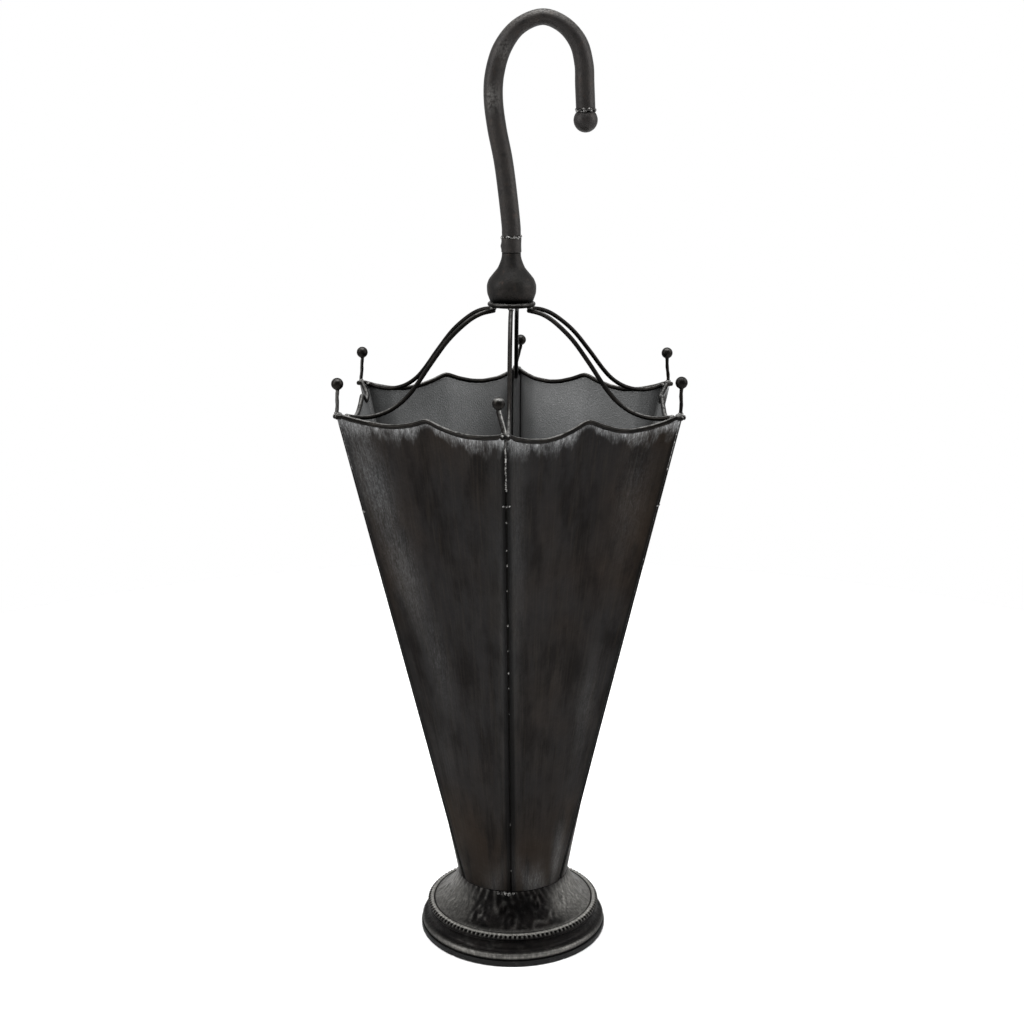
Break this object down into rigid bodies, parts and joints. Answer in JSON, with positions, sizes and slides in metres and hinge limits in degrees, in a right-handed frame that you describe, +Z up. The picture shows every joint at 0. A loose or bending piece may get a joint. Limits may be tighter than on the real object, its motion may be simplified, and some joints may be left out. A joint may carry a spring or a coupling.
{
  "type": "umbrella stand",
  "caption": "Umbrella stand shaped like an open, upturned umbrella: tapering panelled sheet body, scalloped wire rim, wire ribs to a crown, hooked handle and a round moulded foot.",
  "frame": {"origin": "centre of the foot, on the surface it stands on", "axes": "+Z up; -Y is the front, towards one corner of the six-sided body; the handle's hook opens towards +X"},
  "size_m": [0.2888, 0.328, 0.815],
  "materials": {
    "panel_paint": "satin, blackened sheet steel, rubbed at the edges",
    "wire_paint": "satin, blackened steel wire",
    "handle_paint": "matt to satin black paint on steel",
    "foot_paint": "satin, blackened pressed steel with rubbed relief",
    "edge_paint": "matt black",
    "floor_paint": "grey, fine sandy coating",
    "stud_steel": "plain steel"
  },
  "bodies": {
    "root": {"body_panel_1": "panel_paint", "rim_wire_1": "wire_paint", "rib_wire_1": "wire_paint", "tip_pin_1": "wire_paint", "tip_ball_1": "wire_paint", "body_panel_2": "panel_paint", "rim_wire_2": "wire_paint", "rib_wire_2": "wire_paint", "tip_pin_2": "wire_paint", "tip_ball_2": "wire_paint", "body_panel_3": "panel_paint", "rim_wire_3": "wire_paint", "rib_wire_3": "wire_paint", "tip_pin_3": "wire_paint", "tip_ball_3": "wire_paint", "body_panel_4": "panel_paint", "rim_wire_4": "wire_paint", "rib_wire_4": "wire_paint", "tip_pin_4": "wire_paint", "tip_ball_4": "wire_paint", "body_panel_5": "panel_paint", "rim_wire_5": "wire_paint", "rib_wire_5": "wire_paint", "tip_pin_5": "wire_paint", "tip_ball_5": "wire_paint", "body_panel_6": "panel_paint", "rim_wire_6": "wire_paint", "rib_wire_6": "wire_paint", "tip_pin_6": "wire_paint", "tip_ball_6": "wire_paint", "floor_plate": "floor_paint", "foot_shell": "foot_paint", "foot_bead_ring": "foot_paint", "foot_edge_ring": "edge_paint", "foot_plate": "edge_paint", "crown_ring": "wire_paint", "crown_disc": "wire_paint", "handle_knob": "handle_paint", "handle_ferrule": "handle_paint", "handle_stud": "stud_steel", "handle_tube": "handle_paint", "handle_end_ball": "handle_paint"}
  },
  "joints": []
}
